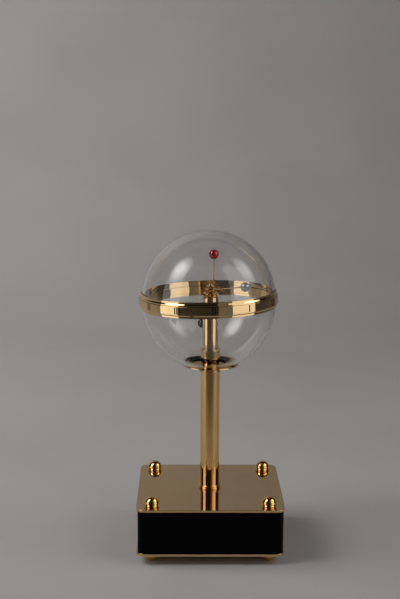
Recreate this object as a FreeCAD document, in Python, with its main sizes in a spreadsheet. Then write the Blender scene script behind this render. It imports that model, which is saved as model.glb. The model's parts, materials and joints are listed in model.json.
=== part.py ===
import FreeCAD, Part
import math
import os

# Globe table clock: a gilt and black square base, a tubular column, and a clear
# sphere with an hour ring on its equator.  Three beads on wires turn round a hub
# at the centre of the sphere and point at the ring.
# Frame: origin on the floor under the column, +Z up, the front of the clock faces -Y.
# All lengths in millimetres.

os.makedirs("parts", exist_ok=True)
doc = FreeCAD.newDocument("globe_clock")

# ---------------------------------------------------------------- sizes
sheet = doc.addObject("Spreadsheet::Sheet", "sizes")
SIZES = [
    # base
    ("foot_height", 7.0), ("foot_flat_radius", 2.0),
    ("plate_side", 109.0), ("plate_thick", 1.8), ("plate_corner", 6.5),
    ("case_side", 107.2), ("case_corner", 5.6), ("case_wall", 4.0), ("case_height", 31.8),
    ("post_half_pitch", 43.17), ("post_block", 12.2),
    ("rod_radius", 2.0), ("rod_hole_radius", 2.2),
    ("dome_radius", 5.5), ("dome_height", 6.9), ("dome_flange_radius", 5.0), ("dome_waist_radius", 4.6),
    # battery bay
    ("cell_radius", 7.25), ("cell_length", 49.5), ("cell_y", 41.2), ("cell_gap", 0.8),
    ("bay_half_length", 28.5), ("bay_half_width", 7.55), ("bay_wall", 0.75),
    ("cover_half_x", 31.0), ("cover_y_low", 31.5), ("cover_depth", 19.0), ("cover_thick", 1.5),
    ("rail_length", 22.0), ("rail_gap", 0.2),
    # setting work
    ("setting_y", 25.5), ("setting_shaft_radius", 1.5), ("setting_pivot_radius", 1.0),
    ("knob_radius", 5.4), ("knob_height", 4.5), ("knob_low", 1.5),
    # movement frame
    ("frame_low", 11.0), ("frame_plate", 1.5), ("frame_high", 31.5),
    ("frame_half_x", 40.0), ("frame_y_low", -30.0), ("frame_y_high", 31.0),
    ("pillar_x", 34.0), ("pillar_y", 26.0), ("pillar_radius", 2.0),
    ("standoff_x", 28.0), ("standoff_y", 24.0), ("standoff_radius", 2.5),
    ("screw_radius", 1.0), ("screw_head_radius", 1.9), ("screw_head", 0.9),
    # motor
    ("motor_x", 16.0), ("motor_low", 15.8), ("motor_high", 21.6), ("motor_shaft_radius", 0.5),
    ("magnet_radius", 3.0), ("coil_radius", 3.1), ("coil_length", 16.0), ("coil_y", 15.0),
    # train
    ("train_module", 0.4), ("cannon_module", 0.5), ("third_distance", 20.4),
    ("minute_wheel_y", 12.0), ("backlash", 0.03),
    ("arbor_radius", 0.6), ("third_arbor_radius", 0.75),
    ("minute_pipe_bore", 0.66), ("minute_pipe_radius", 1.3),
    ("hour_pipe_bore", 1.38), ("hour_pipe_radius", 2.0), ("hour_bush_bore", 2.06),
    # column
    ("column_radius", 7.25), ("column_bore", 6.25), ("column_height", 90.6),
    ("collar_radius", 8.25), ("foot_collar_height", 2.5), ("cap_height", 4.2),
    ("stud_radius", 5.0), ("stud_bore", 2.5), ("nut_width", 16.0), ("nut_height", 4.0),
    ("inner_tube_radius", 5.9), ("inner_tube_bore", 4.9),
    ("dish_radius", 21.35), ("dish_rise", 1.6), ("dish_thick", 0.9),
    ("clamp_radius", 7.4), ("clamp_height", 9.15),
    # sphere and ring
    ("sphere_above_deck", 147.0), ("sphere_radius", 50.0), ("sphere_wall", 2.0), ("dome_edge_low", 3.5), ("dome_edge_high", 2.0), ("seat_level", 2.08),
    ("ring_bore", 50.05), ("band_radius", 52.2), ("band_height", 5.8), ("band_drop", 0.5),
    ("lip_radius", 51.5), ("lip_edge_radius", 50.9), ("upper_lip_height", 3.45), ("lower_lip_height", 2.8),
    ("tongue_radius", 51.0), ("web_bore", 48.0), ("globe_lean", 1.7),
    ("numeral_depth", 0.25), ("numeral_height", 5.0), ("numeral_bar", 0.95), ("numeral_pitch", 1.67),
    ("twelve_azimuth", 63.2),
    # pointers
    ("bead_radius", 3.8), ("wire_radius", 0.45),
    ("hour_bead_azimuth", -169.31), ("hour_bead_reach", 30.73), ("hour_bead_drop", 25.2),
    ("minute_bead_azimuth", 131.08), ("minute_bead_reach", 36.22), ("minute_bead_rise", 4.6),
    ("seconds_bead_azimuth", 170.17), ("seconds_bead_reach", 15.22), ("seconds_bead_rise", 31.2),
    ("hub_gap", 0.5), ("hub_height", 2.5),
    ("hour_hub_radius", 5.9), ("minute_hub_radius", 4.5), ("seconds_hub_radius", 3.5),
]
for i, (alias, value) in enumerate(SIZES, start=1):
    sheet.set("A%d" % i, alias)
    sheet.set("B%d" % i, repr(value))
    sheet.setAlias("B%d" % i, alias)
doc.recompute()


class Dim:
    """A length that carries both its value and the sheet expression behind it."""

    def __init__(self, v, e):
        self.v, self.e = float(v), e

    def __add__(self, o):
        o = D(o)
        return Dim(self.v + o.v, "(%s + %s)" % (self.e, o.e))

    __radd__ = __add__

    def __sub__(self, o):
        o = D(o)
        return Dim(self.v - o.v, "(%s - %s)" % (self.e, o.e))

    def __rsub__(self, o):
        return D(o) - self

    def __mul__(self, o):
        o = D(o)
        return Dim(self.v * o.v, "(%s * %s)" % (self.e, o.e))

    __rmul__ = __mul__

    def __neg__(self):
        return Dim(-self.v, "(0 - %s)" % self.e)


def D(x):
    if isinstance(x, Dim):
        return x
    if isinstance(x, str):
        return Dim(float(sheet.get(x)), "sizes." + x)
    return Dim(x, "%.6f" % x)


nodes = {}


def keep(node, obj):
    obj.Label = node
    nodes[node] = obj
    return obj


def bind(obj, **props):
    for p, x in props.items():
        x = D(x)
        setattr(obj, p, x.v)
        obj.setExpression(p, x.e)


def place(obj, x=0, y=0, z=0, rot=None):
    x, y, z = D(x), D(y), D(z)
    obj.Placement = FreeCAD.Placement(FreeCAD.Vector(x.v, y.v, z.v), rot or FreeCAD.Rotation())
    for axis, d in zip("xyz", (x, y, z)):
        if "sizes" in d.e:
            obj.setExpression("Placement.Base." + axis, d.e)
    return obj


def cyl(name, r, height, x=0, y=0, z=0, rot=None):
    o = doc.addObject("Part::Cylinder", name)
    bind(o, Radius=r, Height=height)
    return place(o, x, y, z, rot)


def ball(name, r, x=0, y=0, z=0):
    o = doc.addObject("Part::Sphere", name)
    bind(o, Radius=r)
    return place(o, x, y, z)


def box(name, lx, ly, lz, x=0, y=0, z=0, rot=None):
    o = doc.addObject("Part::Box", name)
    bind(o, Length=lx, Width=ly, Height=lz)
    return place(o, x, y, z, rot)


def cut(name, base, tool):
    o = doc.addObject("Part::Cut", name)
    o.Base, o.Tool = base, tool
    return o


def common(name, base, tool):
    o = doc.addObject("Part::Common", name)
    o.Base, o.Tool = base, tool
    return o


def fuse(name, *shapes):
    o = doc.addObject("Part::MultiFuse", name)
    o.Shapes = list(shapes)
    return o


def group(name, *links):
    o = doc.addObject("Part::Compound", name)
    o.Links = list(links)
    return o


def mirror(name, source, normal):
    o = doc.addObject("Part::Mirroring", name)
    o.Source = source
    o.Base = FreeCAD.Vector(0, 0, 0)
    o.Normal = FreeCAD.Vector(*normal)
    return o


def four(name, source):
    """The same piece at the four corners, as four separate solids."""
    pair = group(name + "_pair", source, mirror(name + "_mx", source, (1, 0, 0)))
    return group(name + "_four", pair, mirror(name + "_my", pair, (0, 1, 0)))


def origin_plane(body, role):
    for f in body.Origin.OriginFeatures:
        if f.Role == role:
            return f
    raise RuntimeError(role)


def outline(sk, pts):
    """Closed outline through pts.  A point is (u, v) or (u, v, radius, side): then the
    edge that leaves it is an arc with its centre to the left (+1) or right (-1)."""
    import Sketcher
    P = [(D(p[0]), D(p[1])) for p in pts]
    n = len(P)
    V = FreeCAD.Vector
    ends = []
    for i, p in enumerate(pts):
        a, b = P[i], P[(i + 1) % n]
        A, B = V(a[0].v, a[1].v, 0), V(b[0].v, b[1].v, 0)
        if len(p) == 2:
            g = sk.addGeometry(Part.LineSegment(A, B), False)
            ends.append((g, 1, 2, None))
            continue
        r, side = D(p[2]), p[3]
        mid, d = (A + B) * 0.5, B - A
        left = V(-d.y, d.x, 0).normalize() * side
        C = mid + left * math.sqrt(max(r.v ** 2 - (d.Length / 2) ** 2, 0))
        aa, ab = math.atan2(A.y - C.y, A.x - C.x), math.atan2(B.y - C.y, B.x - C.x)
        circle = Part.Circle(C, V(0, 0, 1), r.v)
        if side > 0:
            g = sk.addGeometry(Part.ArcOfCircle(circle, aa, ab if ab > aa else ab + 2 * math.pi), False)
            ends.append((g, 1, 2, r))
        else:
            g = sk.addGeometry(Part.ArcOfCircle(circle, ab, aa if aa > ab else aa + 2 * math.pi), False)
            ends.append((g, 2, 1, r))
    for i in range(n):
        g, s, e, r = ends[i]
        g2, s2, e2, r2 = ends[(i + 1) % n]
        sk.addConstraint(Sketcher.Constraint("Coincident", g, e, g2, s2))
    for i in range(n):
        g, s, e, r = ends[i]
        u, v = P[i]
        if u.e == "0.000000":
            sk.addConstraint(Sketcher.Constraint("PointOnObject", g, s, -2))
        else:
            c = sk.addConstraint(Sketcher.Constraint("DistanceX", -1, 1, g, s, u.v))
            sk.setExpression("Constraints[%d]" % c, u.e)
        if v.e == "0.000000":
            sk.addConstraint(Sketcher.Constraint("PointOnObject", g, s, -1))
        else:
            c = sk.addConstraint(Sketcher.Constraint("DistanceY", -1, 1, g, s, v.v))
            sk.setExpression("Constraints[%d]" % c, v.e)
        if r is not None:
            c = sk.addConstraint(Sketcher.Constraint("Radius", g, r.v))
            sk.setExpression("Constraints[%d]" % c, r.e)


def circle_hole(sk, x, y, r):
    import Sketcher
    x, y, r = D(x), D(y), D(r)
    g = sk.addGeometry(Part.Circle(FreeCAD.Vector(x.v, y.v, 0), FreeCAD.Vector(0, 0, 1), r.v), False)
    for kind, d in (("DistanceX", x), ("DistanceY", y)):
        if abs(d.v) < 1e-9:
            sk.addConstraint(Sketcher.Constraint("PointOnObject", g, 3, -2 if kind == "DistanceX" else -1))
        else:
            c = sk.addConstraint(Sketcher.Constraint(kind, -1, 1, g, 3, d.v))
            sk.setExpression("Constraints[%d]" % c, d.e)
    c = sk.addConstraint(Sketcher.Constraint("Radius", g, r.v))
    sk.setExpression("Constraints[%d]" % c, r.e)


def turned(node, pts, x=None, y=None):
    """A lathe piece: (radius, height) outline turned about its own vertical axis."""
    body = doc.addObject("PartDesign::Body", node)
    sk = body.newObject("Sketcher::SketchObject", node + "_profile")
    sk.AttachmentSupport = [(origin_plane(body, "XZ_Plane"), "")]
    sk.MapMode = "FlatFace"
    outline(sk, pts)
    rev = body.newObject("PartDesign::Revolution", node + "_turned")
    rev.Profile = sk
    rev.ReferenceAxis = (sk, ["V_Axis"])
    rev.Angle = 360.0
    if x is not None:
        place(body, x, y, 0)
    return body


def slab(node, outlines, z, thick, holes=(), corner=None):
    """A flat plate cut from sheet: outer outline, cut-outs and round holes, padded up from z."""
    body = doc.addObject("PartDesign::Body", node)
    sk = body.newObject("Sketcher::SketchObject", node + "_outline")
    sk.AttachmentSupport = [(origin_plane(body, "XY_Plane"), "")]
    sk.MapMode = "FlatFace"
    z, thick = D(z), D(thick)
    sk.AttachmentOffset = FreeCAD.Placement(FreeCAD.Vector(0, 0, z.v), FreeCAD.Rotation())
    sk.setExpression("AttachmentOffset.Base.z", z.e)
    for pts in outlines:
        outline(sk, pts)
    for hole in holes:
        circle_hole(sk, *hole)
    pad = body.newObject("PartDesign::Pad", node + "_pad")
    pad.Profile = sk
    bind(pad, Length=thick)
    if corner is not None:
        doc.recompute()
        far = max(v.X + v.Y for v in pad.Shape.Vertexes)
        names = []
        for i, e in enumerate(pad.Shape.Edges, start=1):
            if len(e.Vertexes) == 2:
                a, b = e.Vertexes[0].Point, e.Vertexes[1].Point
                if abs(a.x - b.x) + abs(a.y - b.y) < 1e-6 and abs(abs(a.x) + abs(a.y) - far) < 1e-6:
                    names.append("Edge%d" % i)
        fil = body.newObject("PartDesign::Fillet", node + "_corners")
        fil.Base = (pad, names)
        bind(fil, Radius=corner)
        body.Tip = fil
    return body


def rect(x0, x1, y0, y1):
    return [(x0, y0), (x1, y0), (x1, y1), (x0, y1)]


def ring(name, r_out, r_in, z, height, x=0, y=0):
    z, height = D(z), D(height)
    return turned(name, [(r_in, z), (r_out, z), (r_out, z + height), (r_in, z + height)],
                  x if x else None, y)


# ---------------------------------------------------------------- levels
z_plate = D("foot_height")
z_case = z_plate + D("plate_thick")
z_top = z_case + D("case_height")
z_deck = z_top + D("plate_thick")
z_cap = z_deck + D("column_height")
z_dish = z_cap + D("cap_height")
z_mid = z_deck + D("sphere_above_deck")
p = D("post_half_pitch")
corner_xy = [(p, p), (-p, p), (-p, -p), (p, -p)]

# ---------------------------------------------------------------- base
half = D("plate_side") * 0.5
cy = D("cell_y")
bay_y0, bay_y1 = cy - D("bay_half_width"), cy + D("bay_half_width")
rod_holes = [(x, y, "rod_hole_radius") for x, y in corner_xy]
keep("bottom_plate", slab("bottom_plate",
     [rect(-half, half, -half, half),
      rect(-D("bay_half_length"), D("bay_half_length"), bay_y0, bay_y1)],
     z_plate, "plate_thick", rod_holes + [(0, "setting_y", D("setting_shaft_radius") + 0.2)],
     corner="plate_corner"))
keep("top_plate", slab("top_plate", [rect(-half, half, -half, half)],
     z_top, "plate_thick", rod_holes + [(0, 0, D("stud_radius") + 0.1)], corner="plate_corner"))

ch = D("case_side") * 0.5
ci = ch - D("case_wall")
cb = ci - D("post_block")
cross = [(ci, -cb), (ci, cb), (cb, cb), (cb, ci), (-cb, ci), (-cb, cb),
         (-ci, cb), (-ci, -cb), (-cb, -cb), (-cb, -ci), (cb, -ci), (cb, -cb)]
keep("case_body", slab("case_body", [rect(-ch, ch, -ch, ch), cross], z_case, "case_height",
     rod_holes, corner="case_corner"))

rod = cyl("tie_rod", "rod_radius", z_deck - 3.0 + 4.0, p, p, 3.0)
keep("tie_rods", four("tie_rods", rod))

R, fr, wr = D("dome_radius"), D("dome_flange_radius"), D("dome_waist_radius")
rr = D("rod_radius")
zd = z_deck
nut = turned("finial", [(0, zd + 4.0), (rr, zd + 4.0), (rr, zd), (fr, zd), (fr, zd + 0.5), (wr, zd + 1.0),
             (R, zd + 1.9, 5.525, 1), (0, zd + D("dome_height"))], p, p)
keep("finial_nuts", four("finial_nuts", nut))
ff = D("foot_flat_radius")
foot = turned("foot", [(0, 0), (ff, 0, 5.4, 1), (R, 4.9), (wr, 5.9), (fr, 6.5), (fr, z_plate), (rr, z_plate),
              (rr, 3.0), (0, 3.0)], p, p)
keep("dome_feet", four("dome_feet", foot))

# ---------------------------------------------------------------- battery bay under the back edge; its cover slides out backwards
hx = D("cover_half_x")
yc0 = D("cover_y_low")
g = D("rail_gap")
z_cover = z_plate - g - D("cover_thick")
cover_plate = box("cover_plate", hx * 2, "cover_depth", "cover_thick", -hx, yc0, z_cover)
grip_a = box("cover_grip_a", 16, 1.2, 0.6, -8, yc0 + 10.0, z_cover - 0.6)
grip_b = box("cover_grip_b", 16, 1.2, 0.6, -8, yc0 + 12.4, z_cover - 0.6)
grip_c = box("cover_grip_c", 16, 1.2, 0.6, -8, yc0 + 14.8, z_cover - 0.6)
keep("battery_cover", fuse("battery_cover", cover_plate, grip_a, grip_b, grip_c))
z_rail = z_cover - g - 0.8
rail_wall = box("rail_wall", 2.0, "rail_length", z_plate - z_rail, hx + g, yc0 - 1.0, z_rail)
rail_lip = box("rail_lip", 1.8, "rail_length", 0.8, hx + g - 1.8, yc0 - 1.0, z_rail)
rail = fuse("rail_right", rail_wall, rail_lip)
keep("battery_cover_rails", group("battery_cover_rails", rail, mirror("rail_left", rail, (1, 0, 0))))

cell_z = z_case + D("cell_gap") + D("cell_radius")
along_x = FreeCAD.Rotation(FreeCAD.Vector(0, 1, 0), 90)
cell_len = D("cell_length")
can = cyl("cell_can", "cell_radius", cell_len, cell_len * -0.5 - 0.5, cy, cell_z, along_x)
nub = cyl("cell_nub", 2.75, 1.0, cell_len * 0.5 - 0.5, cy, cell_z, along_x)
keep("battery_cell", fuse("battery_cell", can, nub))
bw = D("bay_wall")
bl = D("bay_half_length")
bay_top = cell_z + D("cell_radius") + 0.4
tray_out = box("tray_out", (bl + bw) * 2, (D("bay_half_width") + bw) * 2, bay_top + 1.2 - z_case,
               -(bl + bw), bay_y0 - bw, z_case)
tray_in = box("tray_in", bl * 2, D("bay_half_width") * 2, bay_top - z_case + 1.0,
              -bl, bay_y0, z_case - 1.0)
keep("battery_holder", cut("battery_holder", tray_out, tray_in))
minus_leaf = box("minus_leaf", 0.5, 12.0, 12.0, -bl, cy - 6.0, cell_z - 6.0)
minus_coil = doc.addObject("Part::Cone", "minus_coil")
bind(minus_coil, Radius1=4.5, Radius2=2.5, Height=bl - 0.5 - (cell_len * 0.5 + 0.5))
place(minus_coil, 0.5 - bl, cy, cell_z, along_x)
plus_leaf = box("plus_leaf", 0.5, 12.0, 12.0, bl - 0.5, cy - 6.0, cell_z - 6.0)
plus_dimple = cyl("plus_dimple", 2.2, bl - 0.5 - (cell_len * 0.5 + 0.5), cell_len * 0.5 + 0.5, cy, cell_z, along_x)
keep("battery_contacts", group("battery_contacts", fuse("contact_minus", minus_leaf, minus_coil),
     fuse("contact_plus", plus_leaf, plus_dimple)))

# ---------------------------------------------------------------- movement frame
fx, fy0, fy1 = D("frame_half_x"), D("frame_y_low"), D("frame_y_high")
px, py = D("pillar_x"), D("pillar_y")
sx, sy = D("standoff_x"), D("standoff_y")
sr = D("screw_radius")
td = D("third_distance")
zl = D("frame_low")
zl2 = zl + D("frame_plate")
zh = D("frame_high")
zh2 = zh + D("frame_plate")
pillar_holes = [(a * px, b * py, sr) for a, b in ((1, 1), (-1, 1), (-1, -1), (1, -1))]
stand_holes = [(a * sx, b * sy, sr) for a, b in ((1, 1), (-1, 1), (-1, -1), (1, -1))]
keep("movement_lower_plate", slab("movement_lower_plate", [rect(-fx, fx, fy0, fy1)], zl, "frame_plate",
     pillar_holes + [(0, 0, D("arbor_radius") + 0.05), (-td, 0, D("third_arbor_radius") + 0.05),
                     (D("motor_x"), 0, D("motor_shaft_radius") + 0.05),
                     (0, D("setting_y"), D("setting_shaft_radius") + 0.05)]))
keep("movement_upper_plate", slab("movement_upper_plate", [rect(-fx, fx, fy0, fy1)], zh, "frame_plate",
     pillar_holes + stand_holes + [(0, 0, "hour_bush_bore"), (-td, 0, D("third_arbor_radius") + 0.05),
                     (0, D("minute_wheel_y"), 0.75),
                     (0, D("setting_y"), D("setting_pivot_radius") + 0.05)]))
pillar = ring("pillar", "pillar_radius", sr, zl2, zh - zl2, px, py)
keep("movement_pillars", four("movement_pillars", pillar))
hr, hh = D("screw_head_radius"), D("screw_head")
low_screw = fuse("low_screw", cyl("low_screw_head", hr, hh, px, py, zl - hh),
                 cyl("low_screw_shank", sr, 6.0, px, py, zl - 0.1))
high_screw = fuse("high_screw", cyl("high_screw_head", hr, hh, px, py, zh2),
                  cyl("high_screw_shank", sr, 6.0, px, py, zh2 - 6.0 + 0.1))
stand_screw = fuse("stand_screw", cyl("stand_screw_head", hr, hh, sx, sy, zh - hh),
                   cyl("stand_screw_shank", sr, 6.0, sx, sy, zh - 0.1))
keep("movement_screws", group("movement_screws", four("low_screws", low_screw), four("high_screws", high_screw),
     four("stand_screws", stand_screw)))
standoff = ring("standoff", "standoff_radius", sr, zh2, z_top - zh2, sx, sy)
keep("movement_standoffs", four("movement_standoffs", standoff))

# ---------------------------------------------------------------- toothed wheels
PRESSURE = math.radians(20.0)


def inv(a):
    return math.tan(a) - a


def tooth_outline(cx, cy_, teeth, module, addendum, dedendum, phase_deg, steps):
    """Involute teeth, thinned on each flank by the backlash, one tooth centred on phase_deg."""
    rp = module * teeth / 2.0
    rb = rp * math.cos(PRESSURE)
    ra, rf = rp + addendum * module, rp - dedendum * module
    half_at_pitch = (math.pi * module / 2.0 - 2.0 * D("backlash").v) / (2.0 * rp)

    def half_at(r):
        return half_at_pitch + inv(PRESSURE) - (inv(math.acos(rb / r)) if r > rb else 0.0)

    start = max(rb, rf)
    radii = [start + (ra - start) * i / steps for i in range(steps + 1)]
    flank = ([rf] if rf < rb - 1e-6 else []) + radii
    pts = []
    for k in range(teeth):
        mid = math.radians(phase_deg) + 2 * math.pi * k / teeth
        for r in flank:
            a = mid - half_at(r)
            pts.append((r * math.cos(a), r * math.sin(a)))
        for r in reversed(flank):
            a = mid + half_at(r)
            pts.append((r * math.cos(a), r * math.sin(a)))
    return [FreeCAD.Vector(cx + x, cy_ + y, 0) for x, y in pts]


def gear_solid(cx, cy_, z, thick, bore, teeth, module, addendum, dedendum, phase, steps, crossings=0, cross_r=0.0, cross_at=0.0):
    V = FreeCAD.Vector
    outer = Part.makePolygon(tooth_outline(cx, cy_, teeth, module, addendum, dedendum, phase, steps)
                             + tooth_outline(cx, cy_, teeth, module, addendum, dedendum, phase, steps)[:1])
    wires = [outer]
    if bore:
        wires.append(Part.Wire(Part.makeCircle(bore, V(cx, cy_, 0))))
    for k in range(crossings):
        a = 2 * math.pi * k / crossings
        wires.append(Part.Wire(Part.makeCircle(cross_r, V(cx + cross_at * math.cos(a), cy_ + cross_at * math.sin(a), 0))))
    face = Part.makeFace(wires, "Part::FaceMakerBullseye") if len(wires) > 1 else Part.Face(outer)
    face.translate(V(0, 0, z))
    return face.extrude(V(0, 0, thick))


def tube_solid(cx, cy_, z, height, r_out, r_in=0.0):
    V = FreeCAD.Vector
    s = Part.makeCylinder(r_out, height, V(cx, cy_, z))
    if r_in:
        s = s.cut(Part.makeCylinder(r_in, height, V(cx, cy_, z)))
    return s


def feature(node, shape):
    if shape.ShapeType == "Compound" and len(shape.Solids) == 1:
        shape = shape.Solids[0]
    o = doc.addObject("Part::Feature", node)
    o.Shape = shape
    return keep(node, o)


m = D("train_module").v
mc = D("cannon_module").v
td_v = td.v
ar, tr = D("arbor_radius").v, D("third_arbor_radius").v
m_centre = td_v / ((96 + 12) / 2.0)
W, L = (0.7, 1.3), (1.0, 0.98)      # addendum and dedendum of wheels and of pinions, in modules
mx = D("motor_x").v
wy = D("minute_wheel_y").v
sty = D("setting_y").v
mpr, mpb = D("minute_pipe_radius").v, D("minute_pipe_bore").v
hpr, hpb = D("hour_pipe_radius").v, D("hour_pipe_bore").v
z_hub = z_mid.v + 1.8                     # underside of the hour hub
gap, hub = D("hub_gap").v, D("hub_height").v
z_hub2 = z_hub + hub + gap
z_hub3 = z_hub2 + hub + gap
z_tip = z_hub3 + 2.6

feature("seconds_wheel", gear_solid(0, 0, 14.0, 1.2, ar, 60, m, W[0], W[1], 0.0, 2, 5, 2.6, 7.0))
pinion = gear_solid(0, 0, 16.6, 3.0, 0, 12, m, L[0], L[1], 195.0, 4)
feature("seconds_arbor", pinion.fuse(tube_solid(0, 0, zl.v, z_tip - zl.v, ar)).removeSplitter())
feature("third_wheel", gear_solid(-td_v, 0, 17.6, 1.2, tr, 90, m, W[0], W[1], 0.0, 2, 5, 4.2, 10.5))
third_pinion = gear_solid(-td_v, 0, 20.8, 4.0, 0, 12, m_centre, L[0], L[1], 15.0, 4)
feature("third_arbor", third_pinion.fuse(tube_solid(-td_v, 0, zl.v, zh2.v - zl.v, tr)).removeSplitter())
feature("centre_wheel", gear_solid(0, 0, 22.2, 1.2, mpr, 96, m_centre, W[0], W[1], 180.0, 2, 5, 4.4, 10.6))
feature("minute_pipe", tube_solid(0, 0, 20.2, z_hub2 + hub - 20.2, mpr, mpb))
feature("cannon_pinion", gear_solid(0, 0, 24.6, 2.6, mpr, 12, mc, L[0], L[1], 105.0, 4))
mw = gear_solid(0, wy, 25.4, 1.0, 0.8, 36, mc, W[0], W[1], 270.0, 3)
mwp = gear_solid(0, wy, 26.4, 3.6, 0.8, 12, m, L[0], L[1], 285.0, 4)
feature("minute_wheel", mw.fuse(mwp).removeSplitter())
feature("minute_wheel_stud", tube_solid(0, wy, 24.6, zh2.v - 24.6, 0.75).fuse(
    tube_solid(0, wy, 24.0, 0.9, 1.5)).removeSplitter())
feature("hour_wheel", gear_solid(0, 0, 28.4, 1.2, hpr, 48, m, W[0], W[1], 90.0, 2, 4, 1.8, 5.8))
feature("hour_pipe", tube_solid(0, 0, 27.8, z_hub + hub - 27.8, hpr, hpb))
ssr, spr = D("setting_shaft_radius").v, D("setting_pivot_radius").v
setting = gear_solid(0, sty, 24.9, 2.0, 0, 18, mc, W[0], W[1], 280.0, 4)
setting = setting.fuse([tube_solid(0, sty, 3.0, 24.0, ssr), tube_solid(0, sty, 26.9, zh2.v - 26.9, spr)])
feature("setting_shaft", setting.removeSplitter())
motor = gear_solid(mx, 0, 14.0, 1.2, 0, 20, m, W[0], W[1], 189.0, 4)
msr = D("motor_shaft_radius").v
feature("motor_pinion", motor.fuse(tube_solid(mx, 0, zl.v, 18.0 - zl.v, msr)).removeSplitter())

# knurled setting knob under the base
kr, kz, kh = D("knob_radius"), D("knob_low"), D("knob_height")
knob_body = turned("knob_turned", [(0, kz), (kr - 0.6, kz), (kr, kz + 0.6), (kr, kz + kh - 0.6), (kr - 0.6, kz + kh),
                   (ssr, kz + kh), (ssr, 3.0), (0, 3.0)], 0, "setting_y")
flute = cyl("knob_flute", 0.55, 8.0, kr + 0.1, 0, 0)
flutes = group("knob_flutes", *[cyl("knob_flute_%02d" % k, 0.55, 8.0,
               (kr.v + 0.15) * math.cos(math.radians(15 * k)), sty + (kr.v + 0.15) * math.sin(math.radians(15 * k)), 0)
               for k in range(24)])
doc.removeObject("knob_flute")
keep("setting_knob", cut("setting_knob", knob_body, flutes))

# ---------------------------------------------------------------- motor, coil, circuit board
ml, mh = D("motor_low"), D("motor_high")
motor_box = box("motor_box", 20.0, 18.0, mh - ml, D("motor_x") - 8.0, -9.0, ml)
rotor_room = cyl("rotor_room", D("magnet_radius") + 0.4, 3.8, "motor_x", 0, ml + 0.9)
rotor_hole = cyl("rotor_hole", D("motor_shaft_radius") + 0.05, 2.0, "motor_x", 0, ml - 0.5)
keep("motor_housing", cut("motor_housing", motor_box, fuse("rotor_space", rotor_room, rotor_hole)))
magnet = cyl("magnet_disc", "magnet_radius", 3.0, "motor_x", 0, ml + 1.3)
magnet_bore = cyl("magnet_bore", "motor_shaft_radius", 18.0 - 17.1, "motor_x", 0, ml + 1.3)
keep("rotor_magnet", cut("rotor_magnet", magnet, magnet_bore))
cr, cl = D("coil_radius"), D("coil_length")
coil_z = D(18.7)
coil = cyl("coil_winding", cr, cl, D("motor_x") - cl * 0.5 + 2.0, "coil_y", coil_z, along_x)
cheek_a = cyl("coil_cheek_a", cr + 0.2, 1.0, D("motor_x") - cl * 0.5 + 1.0, "coil_y", coil_z, along_x)
cheek_b = cyl("coil_cheek_b", cr + 0.2, 1.0, D("motor_x") + cl * 0.5 + 2.0, "coil_y", coil_z, along_x)
keep("motor_coil", fuse("motor_coil", coil, cheek_a, cheek_b))
pcb = box("pcb_board", 26.0, 14.0, 1.6, 3.0, -28.5, zl2)
chip = box("pcb_chip", 6.0, 5.0, 1.4, 8.0, -26.0, zl2 + 1.5)
keep("circuit_board", fuse("circuit_board", pcb, chip))
keep("quartz_crystal", cyl("quartz_crystal", 1.0, 6.0, 18.0, -22.0, zl2 + 2.6, along_x))

# ---------------------------------------------------------------- column
co, cbr = D("column_radius"), D("column_bore")
keep("column_tube", ring("column_tube", co, cbr, z_deck, z_cap - z_deck))
kr2 = D("collar_radius")
fh = D("foot_collar_height")
keep("column_foot_collar", turned("column_foot_collar", [(co, z_deck), (kr2, z_deck), (kr2, z_deck + 0.9, 1.4, 1),
     (kr2 - 0.7, z_deck + fh), (co, z_deck + fh)]))
st, sb = D("stud_radius"), D("stud_bore")
keep("column_stud", turned("column_stud", [(sb, z_top - 5.0), (st, z_top - 5.0), (st, z_deck), (cbr, z_deck),
     (cbr, z_deck + 12.0), (sb, z_deck + 12.0)]))
hexagon = doc.addObject("Part::Prism", "nut_hexagon")
hexagon.Polygon = 6
bind(hexagon, Circumradius=D("nut_width") * 0.57735, Height="nut_height")
place(hexagon, 0, 0, z_top - D("nut_height"))
nut_bore = cyl("nut_bore", "stud_radius", 10.0, 0, 0, z_top - 8.0)
keep("column_nut", cut("column_nut", hexagon, nut_bore))
it, ib = D("inner_tube_radius"), D("inner_tube_bore")
keep("column_cap", turned("column_cap", [(it, z_cap - 9.0), (cbr, z_cap - 9.0), (cbr, z_cap), (kr2 - 0.5, z_cap),
     (kr2, z_cap + 0.6), (kr2, z_dish - 0.6), (kr2 - 0.5, z_dish), (it, z_dish)]))
z_tube = z_mid + 1.2
keep("inner_tube", ring("inner_tube", it, ib, z_cap - 9.0, z_tube - (z_cap - 9.0)))
hb = D("hour_bush_bore")
keep("tube_top_bush", turned("tube_top_bush", [(hb, z_tube - 8.0), (ib, z_tube - 8.0), (ib, z_tube), (hb, z_tube)]))
dr, dz, dt = D("dish_radius"), D("dish_rise"), D("dish_thick")
keep("dish", turned("dish", [(it, z_dish), (9.0, z_dish, 48.46, 1), (dr, z_dish + dz), (dr, z_dish + dz + 0.6, 59.31, -1),
     (9.0, z_dish + dt), (it, z_dish + dt)]))
cr2 = D("clamp_radius")
z_clamp = z_dish + 4.85
keep("seat_washer", turned("seat_washer", [(it, z_dish + dt), (7.0, z_dish + dt), (7.0, z_clamp), (it, z_clamp)]))
keep("clamp_collar", turned("clamp_collar", [(it, z_clamp), (cr2, z_clamp), (cr2, z_clamp + D("clamp_height") - 1.3),
     (cr2 + 0.3, z_clamp + D("clamp_height") - 1.0), (cr2 + 0.3, z_clamp + D("clamp_height") - 0.3),
     (cr2, z_clamp + D("clamp_height")), (it, z_clamp + D("clamp_height"))]))

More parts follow.
